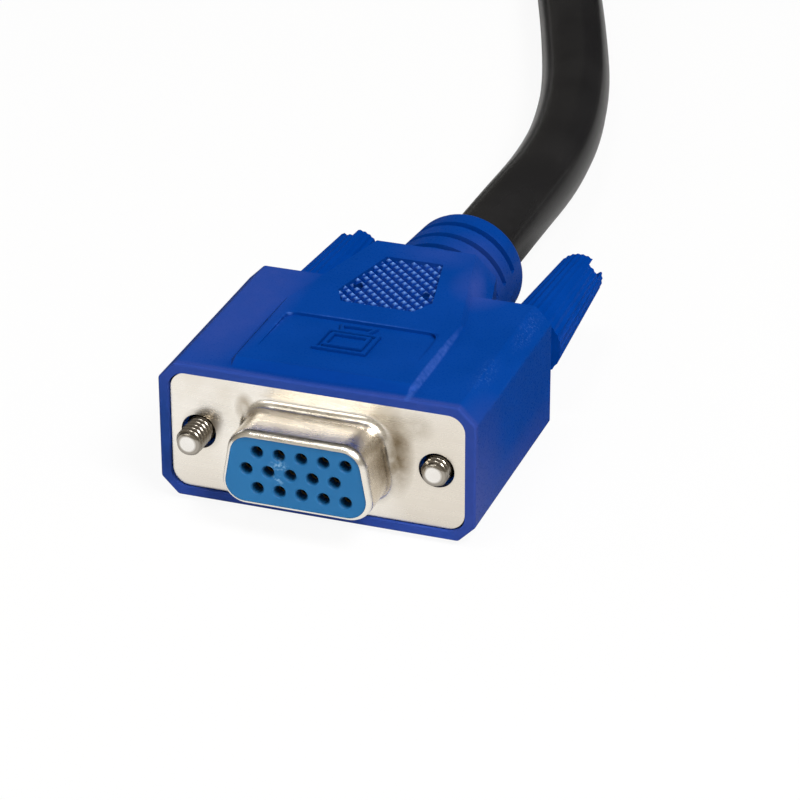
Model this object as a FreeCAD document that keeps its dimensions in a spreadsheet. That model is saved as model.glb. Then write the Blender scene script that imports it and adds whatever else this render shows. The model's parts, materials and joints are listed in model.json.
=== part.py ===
import FreeCAD, Part
import math
import os
import re

import Sketcher

# A video cable for a keyboard, video and mouse switch.
# The near end is a moulded 15-way high-density socket with two captive thumbscrews.
# The cable lies along +Y, is put away in a tied hank, and ends in a matching 15-way plug on the hank.
# Each connector is drawn in its own frame: X across, -Y the mating side, Z up, with the origin on the
# cable's axis at the front of the metal flange. Placements then stand it on the floor at Z = 0.
# Lengths are in millimetres.

Vector = FreeCAD.Vector

SIZES = {
    # Blue moulding: an octagonal block, a raised spine that tapers into a neck, and a round boot.
    "hood_width": 33.2,
    "hood_height": 14.7,
    "hood_depth": 24.25,
    "hood_chamfer": 1.8,
    "lip_proud": 0.35,
    "edge_round": 0.5,
    "rim_round": 0.25,
    "spine_rise": 0.5,
    "spine_stock": 0.1,
    "spine_half": 9.2,
    "spine_front": 0.85,
    "ramp_end": 2.45,
    "taper_start": 16.5,
    "neck_end": 32.7,
    "neck_half": 5.4,
    "neck_chamfer": 2.4,
    "neck_scallop_radius": 3.95,
    "boot_drop": 0.45,
    "boot_front_radius": 7.38,
    "boot_rear_radius": 6.45,
    "boot_end": 46.5,
    "boot_round": 0.7,
    "slot_first": 35.85,
    "slot_pitch": 3.5,
    "slot_width": 1.15,
    "slot_floor_radius": 5.9,
    "slot_angle": 146,
    # Sunken label panel and knurled finger pad on top of the spine.
    "panel_front": 4.3,
    "panel_rear": 13.5,
    "panel_half": 8.1,
    "panel_depth": 0.32,
    "panel_corner": 1.3,
    "pad_front": 17.5,
    "pad_front_half": 3.9,
    "pad_wide": 20.0,
    "pad_wide_half": 5.1,
    "pad_rear": 29.2,
    "pad_rear_half": 3.1,
    "knurl_pitch": 0.99,
    "knurl_sink": 0.08,
    "knurl_depth": 0.46,
    "pit_half_spacing": 3.72,
    "pit_place": 22.1,
    "pit_radius": 0.5,
    "pit_depth": 0.75,
    "cutter_height": 2.0,
    # Metal shells: a flanged front with a drawn D-shaped nose, and a flanged rear box.
    "flange_width": 30.8,
    "flange_height": 12.5,
    "flange_thick": 0.5,
    "flange_corner": 1.8,
    "flange_gap": 0.12,
    "nose_length": 6.0,
    "nose_width": 16.6,
    "nose_height": 8.1,
    "nose_corner": 2.5,
    "nose_wall": 0.5,
    "nose_round": 1.0,
    "nose_foot": 1.0,
    "nose_slant": 10,
    "plug_nose_width": 17.75,
    "plug_nose_height": 9.2,
    "box_width": 18.8,
    "box_height": 10.5,
    "box_end": 6.0,
    "box_wall": 0.4,
    # Insulators and contacts: three rows of five, the middle row half a pitch across.
    "face_sink": 0.25,
    "collar_end": 3.2,
    "plug_face": 0.8,
    "contact_pitch": 2.29,
    "row_pitch": 1.98,
    "hole_radius": 0.575,
    "hole_mouth": 0.16,
    "contact_radius": 0.46,
    "contact_bore": 0.3,
    "contact_sink": 1.1,
    "cup_end": 9.0,
    "cup_depth": 2.4,
    "pin_radius": 0.38,
    "pin_tip": 5.2,
    # White inner moulding round the soldered wires.
    "core_width": 17.0,
    "core_height": 9.4,
    "core_end": 20.0,
    "tail_radius": 5.0,
    "tail_end": 34.0,
    # Captive thumbscrews, measured from the tip of the screw.
    "screw_half_spacing": 12.495,
    "screw_radius": 1.42,
    "screw_point": 0.45,
    "thread_length": 5.5,
    "shank_radius": 1.2,
    "groove_start": 9.9,
    "groove_width": 1.05,
    "groove_radius": 0.95,
    "shank_length": 42.0,
    "grip_start": 30.4,
    "grip_length": 18.7,
    "grip_front_radius": 3.55,
    "grip_rear_radius": 2.55,
    "grip_bevel": 0.35,
    "rib_depth": 0.11,
    "driver_slot_width": 1.7,
    "driver_slot_depth": 2.0,
    "left_slot_turn": 110,
    "right_slot_turn": 37,
    "plug_slot_turn": 0,
    "retainer_radius": 2.3,
    "retainer_thick": 0.95,
    "retainer_play": 0.05,
    "retainer_mouth": 1.7,
    "screw_hole_radius": 1.85,
    "screw_bore_radius": 1.65,
    "chamber_radius": 2.55,
    "chamber_start": 2.8,
    "chamber_end": 11.2,
    "left_reach": 3.0,
    "right_reach": 1.1,
    "plug_reach": 6.0,
    # Cable, hank and tie.
    "cable_radius": 4.25,
    "hank_run": 50.0,
    "hank_fold_radius": 24.0,
    "hank_centre": 8.0,
    "hank_near": 197.0,
    "hank_layers": 3,
    "tie_thick": 0.8,
    "tie_width": 5.0,
    "tie_place": 222.0,
    # Where the connectors stand. The near one's middle is the origin.
    "frame_middle": 21.0,
    "plug_across": -16.0,
    "plug_along": 279.0,
}

RIB_COUNT = 26
SLOT_COUNT = 3
CONTACT_ROWS = 3
CONTACTS_A_ROW = 5
# How much of the shorter run beside it each bend of the cable takes up.
BEND_SHARE = 0.45
# Two places closer than this are the same place.
NEARLY = 1e-6

doc = FreeCAD.newDocument("video_cable")
sheet = doc.addObject("Spreadsheet::Sheet", "Sizes")
for row, (word, value) in enumerate(SIZES.items(), start=1):
    sheet.set(f"A{row}", word)
    sheet.set(f"B{row}", str(value))
    sheet.setAlias(f"B{row}", word)
doc.recompute()

pieces = []


def cells(text):
    """Write a formula's size words as cells of the sheet."""
    return re.sub(r"[a-z_]+", lambda word: f"Sizes.{word[0]}" if word[0] in SIZES else word[0], text)


def number(text):
    """Work out a formula of size words."""
    return float(sheet.evalExpression(cells(text)))


def bind(item, field, text):
    """Tie a property to a formula of size words."""
    item.setExpression(field, cells(text))


def new_body(name):
    """Start an empty body."""
    return doc.addObject("PartDesign::Body", name)


def new_sketch(body, role, offset):
    """Start a sketch on one of the body's own planes, moved along its normal."""
    sketch = body.newObject("Sketcher::SketchObject", "Outline")
    plane = [item for item in body.Origin.OriginFeatures if item.Role == role][0]
    sketch.AttachmentSupport = [(plane, "")]
    sketch.MapMode = "FlatFace"
    bind(sketch, "AttachmentOffset.Base.z", offset)
    return sketch


def hold_point(sketch, place, point, pair):
    """Hold one point of a sketch at a pair of formulas."""
    for name, axis, text in (("DistanceX", -2, pair[0]), ("DistanceY", -1, pair[1])):
        if text == "0":
            sketch.addConstraint(Sketcher.Constraint("PointOnObject", place, point, axis))
            continue
        index = sketch.addConstraint(Sketcher.Constraint(name, -1, 1, place, point, number(text)))
        bind(sketch, f"Constraints[{index}]", text)


def polygon(body, role, corners, offset="0"):
    """Sketch a closed outline whose corners are pairs of formulas."""
    sketch = new_sketch(body, role, offset)
    spots = [Vector(number(x), number(y), 0) for x, y in corners]
    count = len(spots)
    for place in range(count):
        sketch.addGeometry(Part.LineSegment(spots[place], spots[(place + 1) % count]), False)
    for place in range(count):
        sketch.addConstraint(Sketcher.Constraint("Coincident", place, 2, (place + 1) % count, 1))
    for place, pair in enumerate(corners):
        hold_point(sketch, place, 1, pair)
    return sketch


def circles(body, role, centres, radius, offset="0"):
    """Sketch equal circles whose centres are pairs of formulas."""
    sketch = new_sketch(body, role, offset)
    for place, pair in enumerate(centres):
        middle = Vector(number(pair[0]), number(pair[1]), 0)
        sketch.addGeometry(Part.Circle(middle, Vector(0, 0, 1), number(radius)), False)
        hold_point(sketch, place, 3, pair)
        index = sketch.addConstraint(Sketcher.Constraint("Radius", place, number(radius)))
        bind(sketch, f"Constraints[{index}]", radius)
    return sketch


def box_corners(half_width, half_height):
    """The corners of a rectangle about the axis."""
    return [
        (f"-({half_width})", f"-({half_height})"),
        (half_width, f"-({half_height})"),
        (half_width, half_height),
        (f"-({half_width})", half_height),
    ]


def bevelled_corners(half_width, half_height, bevel):
    """The corners of a rectangle about the axis with its four corners cut off."""
    wide, tall = half_width, half_height
    slim, low = f"({half_width}) - ({bevel})", f"({half_height}) - ({bevel})"
    return [
        (slim, tall),
        (wide, low),
        (wide, f"-({low})"),
        (slim, f"-({tall})"),
        (f"-({slim})", f"-({tall})"),
        (f"-({wide})", f"-({low})"),
        (f"-({wide})", low),
        (f"-({slim})", tall),
    ]


def pad(body, sketch, length, backward=True):
    """Fill an outline. A sketch across the connector faces -Y, so backward is towards the cable."""
    feature = body.newObject("PartDesign::Pad", "Pad")
    feature.Profile = sketch
    bind(feature, "Length", length)
    feature.Reversed = backward
    doc.recompute()
    return feature


def remove(body, feature):
    """Finish a cutting feature, and see that it took something away."""
    before = body.Shape.Volume
    doc.recompute()
    if body.Shape.Volume > before - NEARLY:
        raise ValueError(f"{feature.Name} in {body.Name} cuts nothing")
    return feature


def pocket(body, sketch, length, upward=False):
    """Cut an outline into the body: towards the cable, or down or up from a level sketch."""
    feature = body.newObject("PartDesign::Pocket", "Pocket")
    feature.Profile = sketch
    feature.Reversed = upward
    bind(feature, "Length", length)
    return remove(body, feature)


def revolve(body, sketch):
    """Turn an outline about the body's Y axis."""
    feature = body.newObject("PartDesign::Revolution", "Revolution")
    feature.Profile = sketch
    feature.ReferenceAxis = (sketch, ["V_Axis"])
    feature.Angle = 360
    doc.recompute()
    return feature


def loft(body, sketches):
    """Join outlines of equal corner counts by flat faces."""
    feature = body.newObject("PartDesign::AdditiveLoft", "Loft")
    feature.Profile = sketches[0]
    feature.Sections = sketches[1:]
    feature.Ruled = True
    doc.recompute()
    return feature


def edge_names(shape, wanted):
    """Name the edges of a shape that pass a test."""
    return [f"Edge{place}" for place, edge in enumerate(shape.Edges, start=1) if wanted(edge)]


def runs_along(direction):
    """Make a test for straight edges that run along a direction."""

    def wanted(edge):
        ends = [vertex.Point for vertex in edge.Vertexes]
        if len(ends) != 2:
            return False
        step = ends[1] - ends[0]
        return step.Length > NEARLY and step.cross(direction).Length < NEARLY

    return wanted


lengthwise = runs_along(Vector(0, 1, 0))
upright = runs_along(Vector(0, 0, 1))


def at_depth(place):
    """Make a test for edges that lie in one plane across the connector."""
    return lambda edge: edge.BoundBox.YLength < NEARLY and abs(edge.BoundBox.YMin - place) < NEARLY


def at_side(place):
    """Make a test for lengthwise edges that stand at one distance to the left or right."""
    return lambda edge: lengthwise(edge) and abs(abs(edge.Vertexes[0].X) - place) < NEARLY


def within(place, reach):
    """Make a test for edges in one plane across the connector that stay near its middle."""
    level = at_depth(place)
    return lambda edge: level(edge) and max(abs(edge.BoundBox.XMin), abs(edge.BoundBox.XMax)) < reach


def mouths(place, radius):
    """Make a test for whole circles of one radius in one plane across the connector."""
    level, around = at_depth(place), 2 * math.pi * radius
    return lambda edge: level(edge) and abs(edge.Length - around) < NEARLY


def outside(place, half_width, half_height):
    """Make a test for edges in one plane across the connector that leave a rectangle about its axis."""
    level = at_depth(place)

    def wanted(edge):
        box = edge.BoundBox
        wide = max(abs(box.XMin), abs(box.XMax)) > half_width
        tall = max(abs(box.ZMin), abs(box.ZMax)) > half_height
        return level(edge) and (wide or tall)

    return wanted


def fillet(body, feature, wanted, radius):
    """Round the edges of a feature that pass a test."""
    rounding = body.newObject("PartDesign::Fillet", "Fillet")
    rounding.Base = (feature, edge_names(feature.Shape, wanted))
    bind(rounding, "Radius", radius)
    doc.recompute()
    return rounding


def chamfer(body, feature, wanted, size):
    """Cut off the edges of a feature that pass a test."""
    cut = body.newObject("PartDesign::Chamfer", "Chamfer")
    cut.Base = (feature, edge_names(feature.Shape, wanted))
    bind(cut, "Size", size)
    return remove(body, cut)


def boolean(kind, name, items):
    """Cut the second item from the first, or keep what they share, or fuse them."""
    result = doc.addObject(f"Part::{kind}", name)
    result.Base, result.Tool = items
    doc.recompute()
    return result


class Stand:
    """Where one connector stands in the row's frame."""

    def __init__(self, prefix, across, along, height, turn):
        self.prefix = prefix
        self.across = across
        self.along = along
        self.height = height
        self.turn = turn

    def spot(self, local):
        """Turn a place in the connector's frame into one in the row's frame."""
        turned = self.turn.multVec(local)
        base = Vector(number(self.across), number(f"{self.along} - frame_middle"), number(self.height))
        return base + turned

    def keep(self, item, node, local=Vector(0, 0, 0)):
        """Place a finished sub-part, give it its node's name and list it for export."""
        item.Placement = FreeCAD.Placement(self.spot(local), self.turn)
        item.Label = self.prefix + node
        pieces.append(item)


AXIS_HEIGHT = "hood_height / 2 + spine_rise"
STRANDS_HIGH = "hank_layers * 2 * cable_radius"
HANK_TOP = f"tie_thick + {STRANDS_HIGH}"

near = Stand("", "0", "0", AXIS_HEIGHT, FreeCAD.Rotation())
far = Stand(
    "far_",
    "plug_across",
    "plug_along",
    f"{HANK_TOP} + {AXIS_HEIGHT}",
    FreeCAD.Rotation(Vector(0, 0, 1), 180),
)


def screw_centres():
    """The two thumbscrews' places across the connector."""
    return [("-screw_half_spacing", "0"), ("screw_half_spacing", "0")]


def contact_centres():
    """The fifteen contacts' places: rows 1 and 3 in line, the middle row half a pitch across."""
    centres = []
    for line in range(CONTACT_ROWS):
        shift = 0.25 if line % 2 == 0 else -0.25
        for place in range(CONTACTS_A_ROW):
            steps = place - (CONTACTS_A_ROW - 1) / 2 + shift
            rise = line - (CONTACT_ROWS - 1) / 2
            centres.append((f"{steps} * contact_pitch", f"{rise} * row_pitch" if rise else "0"))
    return centres


def nose_corners(width, height, inset="0"):
    """The corners of the D outline, its wide side down, shrunk all round by an inset."""
    half = f"({width}) / 2"
    lean = f"tan(nose_slant * 1 deg) * ({height})"
    shrink = f"({inset}) / cos(nose_slant * 1 deg)"
    slope = f"tan(nose_slant * 1 deg) * ({inset})"
    low = f"-(({height}) / 2 - ({inset}))"
    top = f"({height}) / 2 - ({inset})"
    wide = f"{half} - {shrink} - {slope}"
    narrow = f"{half} - {lean} - {shrink} + {slope}"
    return [(f"-({wide})", low), (wide, low), (narrow, top), (f"-({narrow})", top)]


def d_prism(body, width, height, corner, start, length, inset="0"):
    """A block of the D outline with rounded corners, from a depth towards the cable."""
    outline = polygon(body, "XZ_Plane", nose_corners(width, height, inset), f"-({start})")
    block = pad(body, outline, length)
    return fillet(body, block, lengthwise, f"({corner}) - ({inset})")


def add_spine(body):
    """Raise the spine on both broad faces, taper it into the neck and trim both faces flat."""
    low, tall = "hood_height / 2", f"{AXIS_HEIGHT} + spine_stock"
    sections = [
        ("spine_front", "spine_half", low),
        ("ramp_end", "spine_half", tall),
        ("taper_start", "spine_half", tall),
        ("neck_end", "neck_half", tall),
    ]
    sketches = []
    for depth, half, height in sections:
        corners = bevelled_corners(f"{half} + neck_chamfer", height, "neck_chamfer")
        sketches.append(polygon(body, "XZ_Plane", corners, f"-({depth})"))
    loft(body, sketches)
    wide = "hood_width / 2"
    corners = [(f"-{wide}", "0"), (wide, "0"), (wide, "neck_end + 1"), (f"-{wide}", "neck_end + 1")]
    pocket(body, polygon(body, "XY_Plane", corners, AXIS_HEIGHT), "cutter_height", upward=True)
    pocket(body, polygon(body, "XY_Plane", corners, f"-({AXIS_HEIGHT})"), "cutter_height")


def add_boot(body):
    """Turn the tapered boot behind the neck, a little low, and cut its slots above and below."""
    profile = [
        ("0", "neck_end - boot_round"),
        ("boot_front_radius", "neck_end - boot_round"),
        ("boot_rear_radius", "boot_end"),
        ("0", "boot_end"),
    ]
    boot = revolve(body, polygon(body, "XY_Plane", profile, "-boot_drop"))
    fillet(body, boot, at_depth(number("boot_end")), "boot_round")
    for side in (1, -1):
        groove = body.newObject("PartDesign::Groove", "Groove")
        groove.Profile = slot_outlines(body, side)
        groove.ReferenceAxis = (groove.Profile[0], ["H_Axis"])
        groove.Midplane = True
        bind(groove, "Angle", "slot_angle")
        remove(body, groove)


def slot_outlines(body, side):
    """Sketch the section of the relief slots, above or below the axis."""
    sketch = new_sketch(body, "YZ_Plane", "0")
    bind(sketch, "AttachmentOffset.Base.y", "-boot_drop")
    low, tall = f"{side} * slot_floor_radius", f"{side} * (boot_front_radius + 1)"
    for turn in range(SLOT_COUNT):
        middle = f"slot_first + {turn} * slot_pitch"
        front, back = f"{middle} - slot_width / 2", f"{middle} + slot_width / 2"
        corners = [(front, low), (back, low), (back, tall), (front, tall)]
        spots = [Vector(number(x), number(y), 0) for x, y in corners]
        first = 4 * turn
        for place in range(4):
            sketch.addGeometry(Part.LineSegment(spots[place], spots[(place + 1) % 4]), False)
        for place in range(4):
            following = first + (place + 1) % 4
            sketch.addConstraint(Sketcher.Constraint("Coincident", first + place, 2, following, 1))
        for place, pair in enumerate(corners):
            hold_point(sketch, first + place, 1, pair)
    return sketch


def hollow_hood(body):
    """Cut the seats of the shells, the inner moulding, the cable and the thumbscrews.

    Behind the block, the neck is scalloped so that the grips can slide beside it.
    """
    front = "lip_proud"
    seat = box_corners("flange_width / 2 + flange_gap", "flange_height / 2 + flange_gap")
    outline = polygon(body, "XZ_Plane", seat, front)
    flange = pocket(body, outline, "lip_proud + 2 * flange_thick")
    seated = fillet(body, flange, at_side(number("flange_width / 2 + flange_gap")), "flange_corner")
    inside = [number(f"{size} / 2 - 2 * rim_round") for size in ("hood_width", "hood_height")]
    fillet(body, seated, outside(-number("lip_proud"), *inside), "rim_round")
    steps = [
        ("box_width / 2", "box_height / 2", "box_end"),
        ("core_width / 2", "core_height / 2", "core_end"),
    ]
    for half_width, half_height, end in steps:
        pocket(body, polygon(body, "XZ_Plane", box_corners(half_width, half_height)), end)
    middle = [("0", "-boot_drop")]
    pocket(body, circles(body, "XZ_Plane", middle, "tail_radius"), "tail_end")
    pocket(body, circles(body, "XZ_Plane", middle, "cable_radius"), "boot_end + 1")
    pocket(body, circles(body, "XZ_Plane", screw_centres(), "screw_bore_radius"), "hood_depth")
    chamber = circles(body, "XZ_Plane", screw_centres(), "chamber_radius", "-chamber_start")
    pocket(body, chamber, "chamber_end - chamber_start")
    scallop = circles(body, "XZ_Plane", screw_centres(), "neck_scallop_radius", "lip_proud - hood_depth")
    pocket(body, scallop, "neck_end")


def knurl_teeth(turn):
    """Make a row of V-shaped ridges that crosses the finger pad slantwise."""
    body = new_body("Teeth")
    reach = math.ceil(number("pad_rear - pad_front") / number("knurl_pitch") / 2) + 1
    height = f"{AXIS_HEIGHT} - knurl_sink"
    above = f"{AXIS_HEIGHT} + cutter_height / 2"
    corners = [(f"{reach} * knurl_pitch", above), (f"-{reach} * knurl_pitch", above)]
    for step in range(-2 * reach, 2 * reach + 1):
        valley = "knurl_depth" if step % 2 else "0"
        corners.append((f"{step / 2} * knurl_pitch" if step else "0", f"{height} - {valley}"))
    across = "pad_rear - pad_front"
    pad(body, polygon(body, "XZ_Plane", corners, across), f"2 * ({across})")
    middle = Vector(0, number("(pad_front + pad_rear) / 2"), 0)
    body.Placement = FreeCAD.Placement(middle, FreeCAD.Rotation(Vector(0, 0, 1), turn))
    return body


def finger_pad():
    """The space cut away by the knurled pad: crossed V grooves inside a six-sided outline."""
    outline = new_body("Pad_outline")
    corners = [
        ("pad_front_half", "pad_front"),
        ("pad_wide_half", "pad_wide"),
        ("pad_rear_half", "pad_rear"),
        ("-pad_rear_half", "pad_rear"),
        ("-pad_wide_half", "pad_wide"),
        ("-pad_front_half", "pad_front"),
    ]
    low = f"{AXIS_HEIGHT} - cutter_height / 2"
    pad(outline, polygon(outline, "XY_Plane", corners, low), "cutter_height", backward=False)
    crossed = boolean("Fuse", "Crossed_teeth", (knurl_teeth(45), knurl_teeth(-45)))
    knurl = boolean("Common", "Knurl_space", (crossed, outline))
    pits = new_body("Pits")
    centres = [("-pit_half_spacing", "pit_place"), ("pit_half_spacing", "pit_place")]
    rounds = circles(pits, "XY_Plane", centres, "pit_radius", f"{AXIS_HEIGHT} - pit_depth")
    pad(pits, rounds, "cutter_height", backward=False)
    return boolean("Fuse", "Pad_space", (knurl, pits))


def label_panel():
    """The space of the label panel: level with the spine in front and sunk at the back."""
    body = new_body("Panel_space")
    length = "panel_rear - panel_front"
    half = "panel_half"
    corners = [(f"-{half}", "0"), (half, "0"), (half, length), (f"-{half}", length)]
    block = pad(body, polygon(body, "XY_Plane", corners), "cutter_height", backward=False)
    fillet(body, block, upright, "panel_corner")
    tilt = math.degrees(math.atan(number("panel_depth") / number(length)))
    place = Vector(0, number("panel_front"), number(AXIS_HEIGHT))
    body.Placement = FreeCAD.Placement(place, FreeCAD.Rotation(Vector(1, 0, 0), -tilt))
    return body


def make_hood(stand, dressed):
    """The moulding of one end: block, spine, neck and boot, with the finger pad and panel if dressed."""
    body = new_body("Moulding")
    block = bevelled_corners("hood_width / 2", "hood_height / 2", "hood_chamfer")
    rough = pad(body, polygon(body, "XZ_Plane", block, "lip_proud"), "hood_depth")
    fillet(body, rough, lengthwise, "edge_round")
    add_spine(body)
    add_boot(body)
    hollow_hood(body)
    result = body
    if dressed:
        spaces = boolean("Fuse", "Top_spaces", (finger_pad(), label_panel()))
        result = boolean("Cut", "Dressed_moulding", (body, spaces))
    stand.keep(result, "hood")


def make_front_shell(stand, width, height):
    """The flange with its drawn D-shaped nose, rounded at the rim and at the foot."""
    outer = new_body("Nose_outside")
    d_prism(outer, width, height, "nose_corner", "-nose_length", "nose_length")
    fillet(outer, outer.Tip, at_depth(-number("nose_length")), "nose_round")
    plate = polygon(outer, "XZ_Plane", box_corners("flange_width / 2", "flange_height / 2"))
    flange = pad(outer, plate, "flange_thick")
    rounded = fillet(outer, flange, at_side(number("flange_width / 2")), "flange_corner")
    fillet(outer, rounded, within(0, number(f"({width}) / 2 + nose_wall")), "nose_foot")
    pocket(outer, circles(outer, "XZ_Plane", screw_centres(), "screw_hole_radius"), "2 * flange_thick")
    inner = new_body("Nose_inside")
    d_prism(inner, width, height, "nose_corner", "-nose_length - 1", "nose_length + 2", "nose_wall")
    stand.keep(boolean("Cut", "Front_shell", (outer, inner)), "front_shell")


def make_rear_shell(stand):
    """The second flange with the open box that holds the rear insulator."""
    body = new_body("Rear_shell")
    plate = polygon(body, "XZ_Plane", box_corners("flange_width / 2", "flange_height / 2"), "-flange_thick")
    flange = pad(body, plate, "flange_thick")
    fillet(body, flange, lengthwise, "flange_corner")
    outside = polygon(body, "XZ_Plane", box_corners("box_width / 2", "box_height / 2"), "-flange_thick")
    pad(body, outside, "box_end - flange_thick")
    inside = box_corners("box_width / 2 - box_wall", "box_height / 2 - box_wall")
    pocket(body, polygon(body, "XZ_Plane", inside), "box_end + 1")
    holes = circles(body, "XZ_Plane", screw_centres(), "screw_hole_radius")
    pocket(body, holes, "2 * flange_thick + 0.1")
    stand.keep(body, "rear_shell")


def make_front_insulator(stand, width, height, face, socket):
    """The moulded face with fifteen holes, on a collar behind the flange. A socket's holes open out."""
    body = new_body("Front_insulator")
    d_prism(body, width, height, "nose_corner", f"-({face})", f"{face} + flange_thick", "nose_wall")
    collar = box_corners("box_width / 2 - box_wall", "box_height / 2 - box_wall")
    pad(body, polygon(body, "XZ_Plane", collar, "-flange_thick"), "collar_end - flange_thick")
    holes = circles(body, "XZ_Plane", contact_centres(), "hole_radius", face)
    bored = pocket(body, holes, f"{face} + collar_end + 1")
    if socket:
        chamfer(body, bored, mouths(-number(face), number("hole_radius")), "hole_mouth")
    stand.keep(body, "front_insulator")


def make_rear_insulator(stand):
    """The block in the rear box that grips the fifteen contacts."""
    body = new_body("Rear_insulator")
    block = box_corners("box_width / 2 - box_wall", "box_height / 2 - box_wall")
    pad(body, polygon(body, "XZ_Plane", block, "-collar_end"), "box_end - collar_end")
    holes = circles(body, "XZ_Plane", contact_centres(), "contact_radius", "-collar_end")
    pocket(body, holes, "box_end")
    stand.keep(body, "rear_insulator")


def make_contacts(stand, socket):
    """Fifteen turned contacts: sockets or pins in front, solder cups behind."""
    body_radius, cup_end = number("contact_radius"), number("cup_end")
    along = Vector(0, 1, 0)
    cup_floor = Vector(0, cup_end - number("cup_depth"), 0)
    cup = Part.makeCylinder(number("contact_bore"), number("cup_depth"), cup_floor, along)
    if socket:
        mouth = number("contact_sink + face_sink - nose_length")
        contact = Part.makeCylinder(body_radius, cup_end - mouth, Vector(0, mouth, 0), along)
        bore = Part.makeCylinder(number("contact_bore"), -mouth, Vector(0, mouth, 0), along)
        contact = contact.cut(bore)
    else:
        thin, start = number("pin_radius"), -number("pin_tip")
        pin = Part.makeCylinder(thin, number("box_end") - start - thin, Vector(0, start + thin, 0), along)
        tip = Part.makeCone(thin / 2, thin, thin, Vector(0, start, 0), along)
        shank = Part.makeCylinder(body_radius, cup_end, Vector(0, 0, 0), along)
        contact = pin.fuse([tip, shank]).removeSplitter()
    contact = contact.cut(cup)
    copies = []
    for across, up in contact_centres():
        copy = contact.copy()
        copy.translate(Vector(number(across), 0, number(up)))
        copies.append(copy)
    group = doc.addObject("Part::Feature", "Contacts")
    group.Shape = Part.makeCompound(copies)
    stand.keep(group, "contacts" if socket else "pins")


def make_inner_mould(stand):
    """The white block round the solder cups, with a round tail that meets the cable."""
    body = new_body("Inner_mould")
    block = polygon(body, "XZ_Plane", box_corners("core_width / 2", "core_height / 2"), "-box_end")
    pad(body, block, "core_end - box_end")
    tail = circles(body, "XZ_Plane", [("0", "-boot_drop")], "tail_radius", "-core_end")
    pad(body, tail, "tail_end - core_end")
    cups = circles(body, "XZ_Plane", contact_centres(), "contact_radius", "-box_end")
    pocket(body, cups, "cup_end - box_end")
    stand.keep(body, "inner_mould")


def make_screw(stand, node, place):
    """A steel screw with a pointed tip and a groove for its retainer."""
    body = new_body("Screw")
    groove_end = "groove_start + groove_width"
    profile = [
        ("0", "0"),
        ("screw_radius - screw_point", "0"),
        ("screw_radius", "screw_point"),
        ("screw_radius", "thread_length"),
        ("shank_radius", "thread_length + screw_radius - shank_radius"),
        ("shank_radius", "groove_start"),
        ("groove_radius", "groove_start"),
        ("groove_radius", groove_end),
        ("shank_radius", groove_end),
        ("shank_radius", "shank_length"),
        ("0", "shank_length"),
    ]
    revolve(body, polygon(body, "XY_Plane", profile))
    stand.keep(body, node, place)


def ribbed_corners(radius):
    """The corners of a finely ribbed circle."""
    corners = []
    for step in range(2 * RIB_COUNT):
        angle = math.pi * step / RIB_COUNT
        size = f"({radius} - {step % 2} * rib_depth)"
        pair = [f"{round(part, 6)} * {size}" for part in (math.cos(angle), math.sin(angle))]
        corners.append(tuple("0" if text.startswith(("0.0 ", "-0.0 ")) else text for text in pair))
    return corners


def turned_box(half_width, half_height, turn):
    """The corners of a rectangle about the axis, turned about it by an angle in degrees."""
    across, up = f"cos({turn} * 1 deg)", f"sin({turn} * 1 deg)"
    corners = []
    for x, y in box_corners(half_width, half_height):
        corners.append((f"{across} * ({x}) - {up} * ({y})", f"{up} * ({x}) + {across} * ({y})"))
    return corners


def make_grip(stand, node, place, slot_turn):
    """A tapered, finely ribbed finger grip with a driver slot in its end."""
    body = new_body("Grip")
    end = "grip_start + grip_length"
    sections = [
        ("grip_start", "grip_front_radius"),
        (f"{end} - grip_bevel", "grip_rear_radius"),
        (end, "grip_rear_radius - grip_bevel"),
    ]
    rings = []
    for depth, radius in sections:
        rings.append(polygon(body, "XZ_Plane", ribbed_corners(f"({radius})"), f"-({depth})"))
    loft(body, rings)
    bore = circles(body, "XZ_Plane", [("0", "0")], "shank_radius", "-grip_start")
    pocket(body, bore, "shank_length - grip_start")
    slot = turned_box("grip_front_radius", "driver_slot_width / 2", slot_turn)
    pocket(body, polygon(body, "XZ_Plane", slot, f"-({end} - driver_slot_depth)"), "grip_length")
    stand.keep(body, node, place)


def make_retainer(stand, node, place):
    """An open clip that turns in the screw's groove and slides in the moulding's chamber."""
    body = new_body("Retainer")
    start = "groove_start + retainer_play"
    disc = circles(body, "XZ_Plane", [("0", "0")], "retainer_radius", f"-({start})")
    pad(body, disc, "retainer_thick")
    hole = circles(body, "XZ_Plane", [("0", "0")], "groove_radius + retainer_play", f"-({start})")
    pocket(body, hole, "groove_width")
    half = "retainer_mouth / 2"
    mouth = [(f"-{half}", "0"), (half, "0"), (half, "retainer_radius"), (f"-{half}", "retainer_radius")]
    pocket(body, polygon(body, "XZ_Plane", mouth, f"-({start})"), "groove_width")
    stand.keep(body, node, place)


def make_thumbscrew(stand, side, sign, reach, slot_turn):
    """One captive thumbscrew: how far its tip reaches out of the flange, and how its slot stands."""
    place = Vector(sign * number("screw_half_spacing"), -number(reach), 0)
    make_screw(stand, f"{side}_screw", place)
    make_grip(stand, f"{side}_grip", place, slot_turn)
    make_retainer(stand, f"{side}_retainer", place)


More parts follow.
